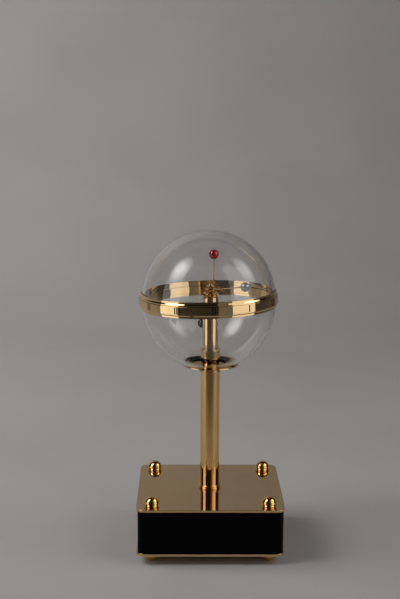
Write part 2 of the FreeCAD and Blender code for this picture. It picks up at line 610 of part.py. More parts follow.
# ---------------------------------------------------------------- clear sphere: two half spheres with the ring's web between them
rs, ws = D("sphere_radius"), D("sphere_wall")
z_band = z_mid - D("band_drop")
z_edge_low, z_edge_high = z_band - D("dome_edge_low"), z_band + D("dome_edge_high")
z_seat = z_dish + D("seat_level")
lean = FreeCAD.Rotation(FreeCAD.Vector(0, 1, 0), -D("globe_lean").v)


def leaned(obj):
    """The globe and its ring lean to the left as one piece, about the place where the globe stands in the dish."""
    obj.Placement = FreeCAD.Placement(FreeCAD.Vector(0, 0, 0), lean, FreeCAD.Vector(0, 0, z_seat.v))
    return obj


def half_globe(name, up, z_edge):
    outer = ball(name + "_outer", rs, 0, 0, z_edge)
    inner = ball(name + "_inner", rs - ws, 0, 0, z_edge)
    for b in (outer, inner):
        b.Angle1, b.Angle2 = (0, 90) if up else (-90, 0)
    return leaned(cut(name, outer, inner))


keep("upper_hemisphere", half_globe("upper_hemisphere", True, z_edge_high))
low = half_globe("lower_hemisphere_blank", False, z_edge_low)
# the lower half is cut off level, so that it stands in the dish; the tube goes up through the opening
neck = cyl("lower_hemisphere_neck", 30.0, 20.0, 0, 0, z_seat - 20.0)
keep("lower_hemisphere", cut("lower_hemisphere", low, neck))

# ---------------------------------------------------------------- hour ring on the equator
rb_, bh, lr, le = D("ring_bore"), D("band_height"), D("lip_radius"), D("lip_edge_radius")
uh, lh = D("upper_lip_height"), D("lower_lip_height")
tg, wb = D("tongue_radius"), D("web_bore")
zb = z_band - bh * 0.5
zt = zb + bh

# each retaining ring laps a little way behind the band and has a sloping shoulder outside it
keep("lower_ring", leaned(turned("lower_ring", [(rb_, z_edge_low), (rb_, zb - lh), (le, zb - lh), (le, zb - 1.4),
     (lr, zb - 0.6), (lr, zb), (tg, zb), (tg, z_edge_low)])))
keep("upper_ring", leaned(turned("upper_ring", [(rb_, z_edge_high), (tg, z_edge_high), (tg, zt), (lr, zt), (lr, zt + 1.0),
     (le, zt + 2.0), (le, zt + uh), (rb_, zt + uh)])))

# Roman numerals inlaid in the band, read from outside; hours run clockwise seen from above.
# Each stroke is a flat bar: (offset along the band, width, lean) with lean the sideways run over its height.
NUMERALS = ["I", "II", "III", "IV", "V", "VI", "VII", "VIII", "IX", "X", "XI", "XII"]
nh, nb, npitch = D("numeral_height").v, D("numeral_bar").v, D("numeral_pitch").v
rband, ndepth = D("band_radius").v, D("numeral_depth").v
ADVANCE = {"I": npitch, "V": 3.3, "X": 3.3}


def strokes(text):
    out, u = [], 0.0
    for ch_ in text:
        a = ADVANCE[ch_]
        c = u + a / 2.0
        if ch_ == "I":
            out.append([(c - nb / 2, -nh / 2), (c + nb / 2, -nh / 2), (c + nb / 2, nh / 2), (c - nb / 2, nh / 2)])
        if ch_ == "V":
            out.append([(c - 1.55, nh / 2), (c - 0.25, -nh / 2), (c + 0.25, -nh / 2), (c - 0.55, nh / 2)])
            out.append([(c + 1.05, nh / 2), (c + 1.5, nh / 2), (c + 0.25, -nh / 2), (c - 0.05, -nh / 2)])
        if ch_ == "X":
            out.append([(c - 1.5, nh / 2), (c - 0.5, nh / 2), (c + 1.5, -nh / 2), (c + 0.5, -nh / 2)])
            out.append([(c + 1.05, nh / 2), (c + 1.45, nh / 2), (c - 1.05, -nh / 2), (c - 1.45, -nh / 2)])
        u += a
    return [[(x - u / 2.0, z) for x, z in q] for q in out]


V = FreeCAD.Vector
shell = tube_solid(0, 0, zb.v, bh.v, rband, rband - ndepth)
marks = []
for hour in range(1, 13):
    az = math.radians(D("twelve_azimuth").v - 30.0 * hour)
    out_dir = V(math.sin(az), -math.cos(az), 0)
    along = V(math.cos(az), math.sin(az), 0)
    prisms = []
    for quad in strokes(NUMERALS[hour - 1]):
        pts = [out_dir * (rband - 1.5) + along * x + V(0, 0, z_band.v + z) for x, z in quad]
        prisms.append(Part.Face(Part.makePolygon(pts + pts[:1])).extrude(out_dir * 3.0))
    solid = prisms[0] if len(prisms) == 1 else prisms[0].fuse(prisms[1:])
    marks += solid.common(shell).Solids
numerals = Part.Compound(marks)
leaned(feature("hour_numerals", numerals))
band_blank = tube_solid(0, 0, zb.v, bh.v, rband, tg.v).fuse(
    tube_solid(0, 0, z_edge_low.v, z_edge_high.v - z_edge_low.v, tg.v, wb.v)).removeSplitter()
leaned(feature("numeral_band", band_blank.cut(numerals)))


# ---------------------------------------------------------------- pointers
def at(azimuth, reach, z):
    a = math.radians(azimuth)
    return V(reach * math.sin(a), -reach * math.cos(a), z)


def wire(name, *points):
    """Straight runs of wire with round knees."""
    made = []
    r = D("wire_radius")
    for i in range(len(points) - 1):
        a, b = points[i], points[i + 1]
        o = doc.addObject("Part::Cylinder", "%s_run%d" % (name, i))
        bind(o, Radius=r)
        o.Height = (b - a).Length
        o.Placement = FreeCAD.Placement(a, FreeCAD.Rotation(V(0, 0, 1), b - a))
        made.append(o)
        if i:
            k = doc.addObject("Part::Sphere", "%s_knee%d" % (name, i))
            bind(k, Radius=r)
            k.Placement = FreeCAD.Placement(a, FreeCAD.Rotation())
            made.append(k)
    if len(made) == 1:
        return made[0]
    return fuse(name, *made)


def bead(name, centre, arm):
    b = doc.addObject("Part::Sphere", name + "_blank")
    bind(b, Radius="bead_radius")
    b.Placement = FreeCAD.Placement(centre, FreeCAD.Rotation())
    return cut(name, b, arm)


def hub_blank(name, radius, z, height, bore):
    return ring(name, radius, bore, z, height)


# hour: blue bead, low in the sphere
a_h = D("hour_bead_azimuth").v
h_end = at(a_h, D("hour_bead_reach").v, z_mid.v - D("hour_bead_drop").v)
h_in = at(a_h, D("hour_hub_radius").v - 2.2, z_hub + 1.25)
h_knee = at(a_h, 12.0, z_hub + 1.25)
hour_arm = keep("hour_arm", wire("hour_arm", h_in, h_knee, h_end))
hour_disc = hub_blank("hour_hub_turned", "hour_hub_radius", z_mid + 1.8, "hub_height", "hour_pipe_radius")
keep("hour_hub", cut("hour_hub", hour_disc, hour_arm))
keep("hour_ball", bead("hour_ball", h_end, hour_arm))
# minute: clear grey bead, just above the ring
a_m = D("minute_bead_azimuth").v
m_end = at(a_m, D("minute_bead_reach").v, z_mid.v + D("minute_bead_rise").v)
m_in = at(a_m, D("minute_hub_radius").v - 1.8, z_hub2 + 1.4)
minute_arm = keep("minute_arm", wire("minute_arm", m_in, m_end))
z_h2 = z_mid + 1.8 + D("hub_height") + D("hub_gap")
minute_disc = hub_blank("minute_hub_turned", "minute_hub_radius", z_h2, "hub_height", "minute_pipe_radius")
keep("minute_hub", cut("minute_hub", minute_disc, minute_arm))
keep("minute_ball", bead("minute_ball", m_end, minute_arm))
# seconds: red bead, high in the sphere; its wire runs out level from the hub and then straight up
a_s = D("seconds_bead_azimuth").v
z_arm = z_hub3 + 1.0
s_in = at(a_s, D("seconds_hub_radius").v - 1.7, z_arm)
s_knee = at(a_s, D("seconds_bead_reach").v, z_arm)
s_end = at(a_s, D("seconds_bead_reach").v, z_mid.v + D("seconds_bead_rise").v)
z_h3 = z_h2 + D("hub_height") + D("hub_gap")
seconds_wire = keep("seconds_wire", wire("seconds_wire", s_in, s_knee, s_end))
seconds_disc = turned("seconds_hub_turned", [("arbor_radius", z_h3), ("seconds_hub_radius", z_h3),
                      ("seconds_hub_radius", z_h3 + 1.6), (1.6, z_h3 + 2.1), (1.3, z_h3 + 2.9), (0.7, z_h3 + 3.4),
                      (0, z_h3 + 3.5), (0, z_h3 + 2.6), ("arbor_radius", z_h3 + 2.6)])
keep("seconds_hub", cut("seconds_hub", seconds_disc, seconds_wire))
keep("seconds_ball", bead("seconds_ball", s_end, seconds_wire))

# ---------------------------------------------------------------- check and write
doc.recompute()
bad = [o.Name + " " + ",".join(o.State) for o in doc.Objects if "Invalid" in o.State or "Error" in o.State]
if bad:
    raise SystemExit("failed objects: " + "; ".join(bad))
if len(nodes) > 60:
    raise SystemExit("too many nodes: %d" % len(nodes))
for node, obj in nodes.items():
    shape = obj.Shape
    if shape.isNull() or not shape.isValid() or not shape.Solids:
        raise SystemExit("bad shape: " + node)
for old in os.listdir("parts"):
    if old.endswith(".step") and old[:-5] not in nodes:
        os.remove(os.path.join("parts", old))
for node, obj in nodes.items():
    obj.Shape.exportStep("parts/%s.step" % node)
total = Part.Compound([o.Shape for o in nodes.values()]).BoundBox
print("%d nodes, %d solids, box %s" % (len(nodes), sum(len(o.Shape.Solids) for o in nodes.values()), total))
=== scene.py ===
import bpy
import bmesh
import json
import math
from mathutils import Matrix, Vector


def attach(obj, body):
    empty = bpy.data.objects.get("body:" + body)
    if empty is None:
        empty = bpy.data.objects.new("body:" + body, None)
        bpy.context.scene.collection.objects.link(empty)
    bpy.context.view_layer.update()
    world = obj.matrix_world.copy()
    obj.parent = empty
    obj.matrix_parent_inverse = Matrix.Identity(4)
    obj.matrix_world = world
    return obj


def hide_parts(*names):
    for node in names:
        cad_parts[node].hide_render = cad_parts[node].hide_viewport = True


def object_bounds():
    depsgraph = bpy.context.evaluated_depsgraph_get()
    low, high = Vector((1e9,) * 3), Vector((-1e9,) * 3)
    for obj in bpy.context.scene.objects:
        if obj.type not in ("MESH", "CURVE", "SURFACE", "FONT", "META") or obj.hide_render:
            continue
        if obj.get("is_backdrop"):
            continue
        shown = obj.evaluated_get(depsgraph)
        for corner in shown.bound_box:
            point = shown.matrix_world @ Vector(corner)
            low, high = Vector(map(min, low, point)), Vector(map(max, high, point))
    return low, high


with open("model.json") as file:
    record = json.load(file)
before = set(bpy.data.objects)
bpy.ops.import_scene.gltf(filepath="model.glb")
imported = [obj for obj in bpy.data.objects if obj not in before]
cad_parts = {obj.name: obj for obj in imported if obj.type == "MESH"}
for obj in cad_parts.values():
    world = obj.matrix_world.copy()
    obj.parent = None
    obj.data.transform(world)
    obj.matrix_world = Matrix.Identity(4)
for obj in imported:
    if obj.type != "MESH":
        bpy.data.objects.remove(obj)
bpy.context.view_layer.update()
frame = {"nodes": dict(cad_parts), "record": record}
MM = 0.001


# ------------------------------------------------------------------ materials
def new_material(name):
    m = bpy.data.materials.new(name)
    m.use_nodes = True
    nt = m.node_tree
    return m, nt, nt.nodes["Principled BSDF"]


def put(socket_owner, **values):
    for k, v in values.items():
        socket_owner.inputs[k.replace("_", " ")].default_value = v


def object_coords(nt):
    return nt.nodes.new("ShaderNodeTexCoord").outputs["Object"]


def noise(nt, scale, detail=3.0, rough=0.5, stretch=None, coords=None):
    co = coords or object_coords(nt)
    if stretch:
        mp = nt.nodes.new("ShaderNodeMapping")
        mp.inputs["Scale"].default_value = stretch
        nt.links.new(co, mp.inputs["Vector"])
        co = mp.outputs["Vector"]
    n = nt.nodes.new("ShaderNodeTexNoise")
    n.inputs["Scale"].default_value = scale
    n.inputs["Detail"].default_value = detail
    n.inputs["Roughness"].default_value = rough
    nt.links.new(co, n.inputs["Vector"])
    return n.outputs["Fac"]


def span(nt, fac, low, high, f0=0.0, f1=1.0):
    r = nt.nodes.new("ShaderNodeMapRange")
    r.inputs["From Min"].default_value = f0
    r.inputs["From Max"].default_value = f1
    r.inputs["To Min"].default_value = low
    r.inputs["To Max"].default_value = high
    nt.links.new(fac, r.inputs["Value"])
    return r.outputs["Result"]


def ramp(nt, fac, stops):
    r = nt.nodes.new("ShaderNodeValToRGB")
    e = r.color_ramp.elements
    e[0].position, e[0].color = stops[0][0], (*stops[0][1], 1)
    e[1].position, e[1].color = stops[-1][0], (*stops[-1][1], 1)
    for p, c in stops[1:-1]:
        x = e.new(p)
        x.color = (*c, 1)
    nt.links.new(fac, r.inputs["Fac"])
    return r.outputs["Color"]


def bump(nt, bsdf, height, strength, distance):
    b = nt.nodes.new("ShaderNodeBump")
    b.inputs["Strength"].default_value = strength
    b.inputs["Distance"].default_value = distance
    nt.links.new(height, b.inputs["Height"])
    nt.links.new(b.outputs["Normal"], bsdf.inputs["Normal"])


def brass(name, tint=(0.81, 0.585, 0.315), dark=(0.73, 0.505, 0.25), rough=(0.035, 0.075), turning=None, wear=0.15):
    """Polished gilt brass: a slow drift of tone, faint tarnish in patches, and turning or polishing lines."""
    m, nt, b = new_material(name)
    put(b, Metallic=1.0, IOR=1.5)
    co = object_coords(nt)
    drift = noise(nt, 28.0, 3.0, 0.55, coords=co)
    nt.links.new(ramp(nt, drift, [(0.3, dark), (0.62, tint)]), b.inputs["Base Color"])
    spots = noise(nt, 160.0, 4.0, 0.6, coords=co)
    nt.links.new(span(nt, spots, rough[0], rough[1], 0.35, 0.75), b.inputs["Roughness"])
    if turning == "lathe":       # fine lines round the axis
        lines = noise(nt, 1.0, 2.0, 0.5, stretch=(60.0, 60.0, 5200.0), coords=co)
    elif turning == "sheet":     # polishing lines across the sheet
        lines = noise(nt, 1.0, 3.0, 0.6, stretch=(35.0, 2600.0, 60.0), coords=co)
    else:
        lines = noise(nt, 900.0, 2.0, 0.5, coords=co)
    bump(nt, b, lines, wear, 0.00002)
    return m


def bead_glaze(name, colour, deep, rough=0.05):
    m, nt, b = new_material(name)
    drift = noise(nt, 420.0, 3.0, 0.5)
    nt.links.new(ramp(nt, drift, [(0.3, deep), (0.7, colour)]), b.inputs["Base Color"])
    put(b, Roughness=rough, IOR=1.55, Coat_Weight=0.6, Coat_Roughness=0.03)
    bump(nt, b, noise(nt, 900.0, 2.0), 0.05, 0.00002)
    return m


M = {}
M["polished_brass"] = brass("polished_brass", turning="lathe")
M["plate_brass"] = brass("plate_brass", tint=(0.70, 0.485, 0.24), dark=(0.655, 0.45, 0.215), rough=(0.045, 0.075), turning="sheet", wear=0.10)
M["column_brass"] = brass("column_brass", tint=(0.90, 0.60, 0.25), dark=(0.80, 0.50, 0.175), rough=(0.03, 0.06), turning="lathe")
M["nut_brass"] = brass("nut_brass", tint=(0.92, 0.60, 0.19), dark=(0.84, 0.51, 0.13), turning="lathe")
M["brass_wire"] = brass("brass_wire", tint=(0.72, 0.50, 0.24), dark=(0.60, 0.38, 0.16), rough=(0.12, 0.25))
M["train_brass"] = brass("train_brass", tint=(0.72, 0.54, 0.26), dark=(0.60, 0.44, 0.19), rough=(0.18, 0.35), wear=0.3)

m, nt, b = new_material("steel")
put(b, Metallic=1.0)
nt.links.new(ramp(nt, noise(nt, 60.0), [(0.3, (0.42, 0.42, 0.43)), (0.7, (0.58, 0.58, 0.59))]), b.inputs["Base Color"])
nt.links.new(span(nt, noise(nt, 300.0), 0.16, 0.34), b.inputs["Roughness"])
bump(nt, b, noise(nt, 1.0, 2.0, stretch=(80.0, 80.0, 4000.0)), 0.2, 0.00002)
M["steel"] = m

m, nt, b = new_material("black_case")
nt.links.new(ramp(nt, noise(nt, 22.0, 2.0), [(0.3, (0.0004, 0.0004, 0.0005)), (0.7, (0.0012, 0.0011, 0.0012))]), b.inputs["Base Color"])
nt.links.new(span(nt, noise(nt, 240.0, 4.0, 0.65), 0.10, 0.20, 0.35, 0.75), b.inputs["Roughness"])
put(b, IOR=1.36, Specular_IOR_Level=0.08)
bump(nt, b, noise(nt, 1400.0, 2.0), 0.04, 0.00002)
M["black_case"] = m

m, nt, b = new_material("clear_plastic")
put(b, Base_Color=(0.985, 0.985, 0.975, 1), Transmission_Weight=1.0, IOR=1.49)
nt.links.new(span(nt, noise(nt, 45.0, 4.0, 0.6), 0.0, 0.02, 0.5, 0.8), b.inputs["Roughness"])
M["clear_plastic"] = m


def plain(name, low, high, rough, scale=120.0, strength=0.15):
    m, nt, b = new_material(name)
    nt.links.new(ramp(nt, noise(nt, scale), [(0.3, low), (0.7, high)]), b.inputs["Base Color"])
    nt.links.new(span(nt, noise(nt, scale * 3.0), rough[0], rough[1]), b.inputs["Roughness"])
    bump(nt, b, noise(nt, scale * 12.0), strength, 0.00003)
    M[name] = m
    return m


plain("white_plastic", (0.72, 0.72, 0.69), (0.80, 0.80, 0.77), (0.4, 0.55))
plain("circuit_green", (0.015, 0.10, 0.04), (0.03, 0.16, 0.06), (0.25, 0.4))
plain("cell_jacket", (0.20, 0.21, 0.23), (0.30, 0.31, 0.33), (0.25, 0.4))
plain("copper_wire", (0.42, 0.16, 0.06), (0.60, 0.26, 0.11), (0.25, 0.4))
M["copper_wire"].node_tree.nodes["Principled BSDF"].inputs["Metallic"].default_value = 1.0
plain("black_enamel", (0.004, 0.0035, 0.003), (0.009, 0.008, 0.006), (0.50, 0.66), 900.0, 0.1)
put(M["black_enamel"].node_tree.nodes["Principled BSDF"], Specular_IOR_Level=0.12)
M["red_bead"] = bead_glaze("red_bead", (0.74, 0.007, 0.012), (0.55, 0.004, 0.008))
M["blue_bead"] = bead_glaze("blue_bead", (0.004, 0.012, 0.040), (0.002, 0.005, 0.020))
m, nt, b = new_material("grey_bead")
nt.links.new(ramp(nt, noise(nt, 300.0, 3.0), [(0.3, (0.36, 0.40, 0.44)), (0.7, (0.50, 0.54, 0.58))]), b.inputs["Base Color"])
nt.links.new(span(nt, noise(nt, 500.0, 3.0), 0.10, 0.22), b.inputs["Roughness"])
put(b, Metallic=0.75, Coat_Weight=0.5, Coat_Roughness=0.04)
M["grey_bead"] = m

SLOT_OF = {s["node"]: s["material_slot"] for s in frame["record"]["subparts"]}
for node, obj in frame["nodes"].items():
    mat = M[SLOT_OF[node]]
    if not obj.material_slots:
        obj.data.materials.append(mat)
    for s in obj.material_slots:
        s.material = mat


# ------------------------------------------------------------------ meshes
def finish_mesh(name, me, mat, body, nodes=(), sharp=35.0):
    me.validate()
    for poly in me.polygons:
        poly.use_smooth = True
    o = bpy.data.objects.new(name, me)
    bpy.context.scene.collection.objects.link(o)
    me.materials.append(M[mat])
    me.set_sharp_from_angle(angle=math.radians(sharp))
    if nodes:
        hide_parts(*nodes)
    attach(o, body)
    return o


def arc(cx, cz, r, a0, a1, n):
    """Points on a circle in the (radius, height) plane, angles in degrees from the +radius axis."""
    return [(cx + r * math.cos(math.radians(a0 + (a1 - a0) * i / n)),
             cz + r * math.sin(math.radians(a0 + (a1 - a0) * i / n))) for i in range(n + 1)]


def soften(pts, radius, steps=4, closed=True):
    """Rounds each corner of an outline given as (r, z) or (r, z, own radius); 0 keeps a corner sharp."""
    out = []
    n = len(pts)
    for i, p in enumerate(pts):
        rad = p[2] if len(p) > 2 else radius
        P = Vector(p[:2])
        A, B = Vector(pts[i - 1][:2]), Vector(pts[(i + 1) % n][:2])
        if rad <= 0 or (not closed and i in (0, n - 1)):
            out.append((P.x, P.y))
            continue
        u, v = (A - P), (B - P)
        la, lb = u.length, v.length
        if la < 1e-9 or lb < 1e-9:
            out.append((P.x, P.y))
            continue
        u.normalize(); v.normalize()
        ang = math.acos(max(-1.0, min(1.0, u.dot(v))))
        if ang > math.radians(172):
            out.append((P.x, P.y))
            continue
        t = min(rad / math.tan(ang / 2), la * 0.45, lb * 0.45)
        a, c = P + u * t, P + v * t
        for k in range(steps + 1):
            s = k / steps
            q = a * (1 - s) ** 2 + P * 2 * s * (1 - s) + c * s ** 2
            out.append((q.x, q.y))
    return hold_flat(out, closed)


def hold_flat(pts, closed=True, near=0.03):
    """Adds a point just inside both ends of each long straight side, so that smooth shading leaves it flat."""
    out = []
    n = len(pts)
    for i, p in enumerate(pts):
        out.append(p)
        if not closed and i == n - 1:
            break
        q = pts[(i + 1) % n]
        d = math.hypot(q[0] - p[0], q[1] - p[1])
        if d > 0.5:
            for s in (near / d, 1 - near / d):
                out.append((p[0] + (q[0] - p[0]) * s, p[1] + (q[1] - p[1]) * s))
    return out


def lathe(bm, pts, at=(0, 0), segs=128, closed=True):
    """Turns an outline of (radius, height) in mm round the vertical axis at `at`; points on the axis are welded."""
    rows = []
    for r, z in pts:
        if abs(r) < 1e-6:
            rows.append([bm.verts.new((at[0] * MM, at[1] * MM, z * MM))])
        else:
            rows.append([bm.verts.new(((at[0] + r * math.cos(2 * math.pi * k / segs)) * MM,
                                       (at[1] + r * math.sin(2 * math.pi * k / segs)) * MM, z * MM)) for k in range(segs)])
    n = len(rows)
    for i in range(n if closed else n - 1):
        a, b_ = rows[i], rows[(i + 1) % n]
        if len(a) == 1 and len(b_) == 1:
            continue
        for k in range(segs):
            k2 = (k + 1) % segs
            if len(a) == 1:
                bm.faces.new((a[0], b_[k2], b_[k]))
            elif len(b_) == 1:
                bm.faces.new((a[k], a[k2], b_[0]))
            else:
                bm.faces.new((a[k], a[k2], b_[k2], b_[k]))


def mesh_from(bm, name):
    bmesh.ops.remove_doubles(bm, verts=bm.verts, dist=1e-8)
    bmesh.ops.recalc_face_normals(bm, faces=bm.faces)
    me = bpy.data.meshes.new(name)
    bm.to_mesh(me)
    bm.free()
    return me


def turned(name, outlines, mat, body, nodes, segs=128, sharp=30.0, move=None):
    bm = bmesh.new()
    for item in outlines:
        pts, at = item if isinstance(item, tuple) else (item, (0, 0))
        lathe(bm, pts, at, segs)
    me = mesh_from(bm, name)
    if move is not None:
        me.transform(move)
    return finish_mesh(name, me, mat, body, nodes, sharp=sharp)


# levels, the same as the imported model's
Z_PLATE, Z_CASE, Z_TOP, Z_DECK = 7.0, 8.8, 40.6, 42.4
Z_CAP = Z_DECK + 90.6
Z_DISH = Z_CAP + 4.2
Z_MID = Z_DECK + 147.0
Z_BAND = Z_MID - 0.5
Z_SEAT = Z_DISH + 2.08                         # where the globe stands in the dish, and leans about
Z_EDGE_LOW, Z_EDGE_HIGH = Z_BAND - 3.5, Z_BAND + 2.0
LEAN = (Matrix.Translation((0, 0, Z_SEAT * MM)) @ Matrix.Rotation(math.radians(-1.7), 4, "Y")
        @ Matrix.Translation((0, 0, -Z_SEAT * MM)))
POST = 43.17
CORNERS = [(POST, POST), (-POST, POST), (-POST, -POST), (POST, -POST)]


def rounded_square(half, r, n=10):
    out = []
    for cx, cy, a0 in ((1, 1, 0), (-1, 1, 90), (-1, -1, 180), (1, -1, 270)):
        for k in range(n + 1):
            a = math.radians(a0 + 90 * k / n)
            out.append((cx * (half - r) + r * math.cos(a), cy * (half - r) + r * math.sin(a)))
    return out


def plate(name, half, corner, z0, z1, edge, mat, nodes, holes=(), hollow=None):
    """A square sheet or wall with rounded corners, rounded edges and real holes."""
    bm = bmesh.new()
    top, bottom = [], []
    loops = []
    steps = 3
    prof = []                                     # (inset, z) from the bottom face round the edge to the top face
    for k in range(steps + 1):
        a = math.radians(90 * k / steps)
        prof.append((edge * (1 - math.sin(a)), z0 + edge * (1 - math.cos(a))))
    prof.append((0.0, z0 + edge + 0.03))
    prof.append((0.0, z1 - edge - 0.03))
    for k in range(steps + 1):
        a = math.radians(90 * k / steps)
        prof.append((edge * (1 - math.cos(a)), z1 - edge * (1 - math.sin(a))))
    prof = [(edge + 0.05, z0)] + prof + [(edge + 0.05, z1)]      # these keep both faces flat up to the edge
    for inset, z in prof:
        pts = rounded_square(half - inset, max(corner - inset, 0.2))
        loops.append([bm.verts.new((x * MM, y * MM, z * MM)) for x, y in pts])
    for a, b_ in zip(loops, loops[1:]):
        for k in range(len(a)):
            k2 = (k + 1) % len(a)
            bm.faces.new((a[k], a[k2], b_[k2], b_[k]))
    inner = []
    for pts in holes:
        lo = [bm.verts.new((x * MM, y * MM, z0 * MM)) for x, y in pts]
        hi = [bm.verts.new((x * MM, y * MM, z1 * MM)) for x, y in pts]
        for k in range(len(lo)):
            k2 = (k + 1) % len(lo)
            bm.faces.new((lo[k2], lo[k], hi[k], hi[k2]))
        inner.append((lo, hi))
    for which, outer in ((0, loops[0]), (1, loops[-1])):
        edges = []
        for ring_ in [outer] + [h[which] for h in inner]:
            for k in range(len(ring_)):
                e = bm.edges.get((ring_[k], ring_[(k + 1) % len(ring_)]))
                edges.append(e)
        bmesh.ops.triangle_fill(bm, use_beauty=True, use_dissolve=False, edges=edges)
    return finish_mesh(name, mesh_from(bm, name), mat, "base", nodes, sharp=28.0)


def circle(cx, cy, r, n=32):
    return [(cx + r * math.cos(2 * math.pi * k / n), cy + r * math.sin(2 * math.pi * k / n)) for k in range(n)]


def rectangle(x0, x1, y0, y1):
    return [(x0, y0), (x1, y0), (x1, y1), (x0, y1)]


rods = [circle(x, y, 2.2) for x, y in CORNERS]
plate("top_plate_polished", 54.5, 6.5, Z_TOP, Z_DECK, 0.18, "plate_brass", ["top_plate"], rods + [circle(0, 0, 5.1)])
plate("bottom_plate_polished", 54.5, 6.5, Z_PLATE, Z_CASE, 0.18, "plate_brass", ["bottom_plate"],
      rods + [rectangle(-28.5, 28.5, 33.65, 48.75), circle(0, 25.5, 1.7)])
cross = [(49.6, -37.4), (49.6, 37.4), (37.4, 37.4), (37.4, 49.6), (-37.4, 49.6), (-37.4, 37.4),
         (-49.6, 37.4), (-49.6, -37.4), (-37.4, -37.4), (-37.4, -49.6), (37.4, -49.6), (37.4, -37.4)]
plate("case_shell", 53.6, 5.6, Z_CASE + 0.02, Z_TOP - 0.02, 0.25, "black_case", ["case_body"], rods + [cross])

# domed nuts and feet
nut = soften([(0, 46.4, 0), (2.0, 46.4, 0), (2.0, Z_DECK, 0), (5.0, Z_DECK, 0), (5.0, Z_DECK + 0.5, 0.2),
              (4.6, Z_DECK + 1.0, 0.35), (5.32, Z_DECK + 1.75, 0.3)], 0.2)
dome = [(5.525 * math.cos(a), Z_DECK + 1.375 + 5.525 * math.sin(a)) for a in
        [math.radians(7 + (90 - 7) * k / 20) for k in range(20)]] + [(0, Z_DECK + 6.9)]
nut = nut[:-1] + dome
turned("domed_nuts", [(nut, c) for c in CORNERS], "nut_brass", "base", ["finial_nuts"], segs=64)
foot = [(0, 3.0), (2.0, 3.0), (2.0, 7.0), (5.0, 7.0), (5.0, 6.55), (4.75, 6.1), (4.72, 5.85), (4.95, 5.55), (5.4, 5.1)]
foot += [(0.0 + 5.42 * math.cos(a), 5.0 + 5.0 * math.sin(a)) for a in [math.radians(-k * 68 / 16) for k in range(17)]]
foot = [p for p in foot if p[0] <= 5.5] + [(1.95, 0.06), (1.7, 0.0), (0, 0)]
turned("domed_feet", [(foot, c) for c in CORNERS], "nut_brass", "base", ["dome_feet"], segs=64)

# column
turned("column_polished", [soften([(6.25, Z_DECK), (7.25, Z_DECK), (7.25, Z_CAP), (6.25, Z_CAP)], 0.15)],
       "column_brass", "base", ["column_tube"], segs=160)
turned("foot_collar", [soften([(7.26, Z_DECK, 0.05), (8.25, Z_DECK, 0.2), (8.25, Z_DECK + 0.75, 0.35), (7.75, Z_DECK + 1.05, 0.1),
                               (7.75, Z_DECK + 1.2, 0.1), (8.1, Z_DECK + 1.5, 0.3), (8.1, Z_DECK + 2.2, 0.35), (7.26, Z_DECK + 2.5, 0.1)], 0.2)],
       "nut_brass", "base", ["column_foot_collar"])
turned("column_cap_turned", [soften([(5.92, Z_CAP - 9), (6.24, Z_CAP - 9), (6.24, Z_CAP, 0), (7.7, Z_CAP, 0.1), (8.25, Z_CAP + 0.4, 0.3),
                                     (8.25, Z_CAP + 1.3, 0.3), (7.7, Z_CAP + 1.65, 0.15), (7.7, Z_CAP + 1.9, 0.15), (8.2, Z_CAP + 2.3, 0.3),
                                     (8.2, Z_DISH - 0.3, 0.3), (7.9, Z_DISH, 0.1), (5.92, Z_DISH, 0)], 0.1)],
       "polished_brass", "base", ["column_cap"])
# dish: flat centre, sweeping up to a rolled rim
under = [(5.92, Z_DISH), (9.0, Z_DISH)] + [(9.0 + 12.35 * t, Z_DISH + 1.6 * t ** 2.0) for t in [k / 16 for k in range(1, 17)]]
over = [(9.0 + 12.1 * t, Z_DISH + 0.9 + 1.22 * t ** 2.0) for t in [k / 16 for k in range(16, 0, -1)]] + [(9.0, Z_DISH + 0.9), (5.92, Z_DISH + 0.9)]
rim = [(21.34, Z_DISH + 1.85), (21.26, Z_DISH + 2.08)]
turned("dish_polished", [under + rim + over], "column_brass", "base", ["dish"], segs=192, sharp=40)
turned("spacer_sleeve", [soften([(5.92, Z_DISH + 0.92), (6.98, Z_DISH + 0.92), (6.98, Z_DISH + 4.83), (5.92, Z_DISH + 4.83)], 0.12)],
       "clear_plastic", "base", ["seat_washer"], segs=96)
turned("clamp_collar_turned", [soften([(5.92, Z_DISH + 4.85), (7.4, Z_DISH + 4.85), (7.4, Z_DISH + 12.5, 0.1), (7.15, Z_DISH + 12.65, 0.08),
                                       (7.65, Z_DISH + 13.0, 0.2), (7.65, Z_DISH + 13.65, 0.3), (7.2, Z_DISH + 14.0, 0.2), (5.92, Z_DISH + 14.0, 0)], 0.12)],
       "polished_brass", "base", ["clamp_collar"])
turned("inner_tube_polished", [soften([(4.92, Z_CAP - 9), (5.9, Z_CAP - 9), (5.9, Z_MID + 1.2), (4.92, Z_MID + 1.2)], 0.15)],
       "polished_brass", "base", ["inner_tube"], segs=128)
turned("top_bush_turned", [soften([(2.06, Z_MID - 6.8), (4.9, Z_MID - 6.8), (4.9, Z_MID + 1.18), (2.06, Z_MID + 1.18)], 0.15)],
       "polished_brass", "base", ["tube_top_bush"], segs=64)

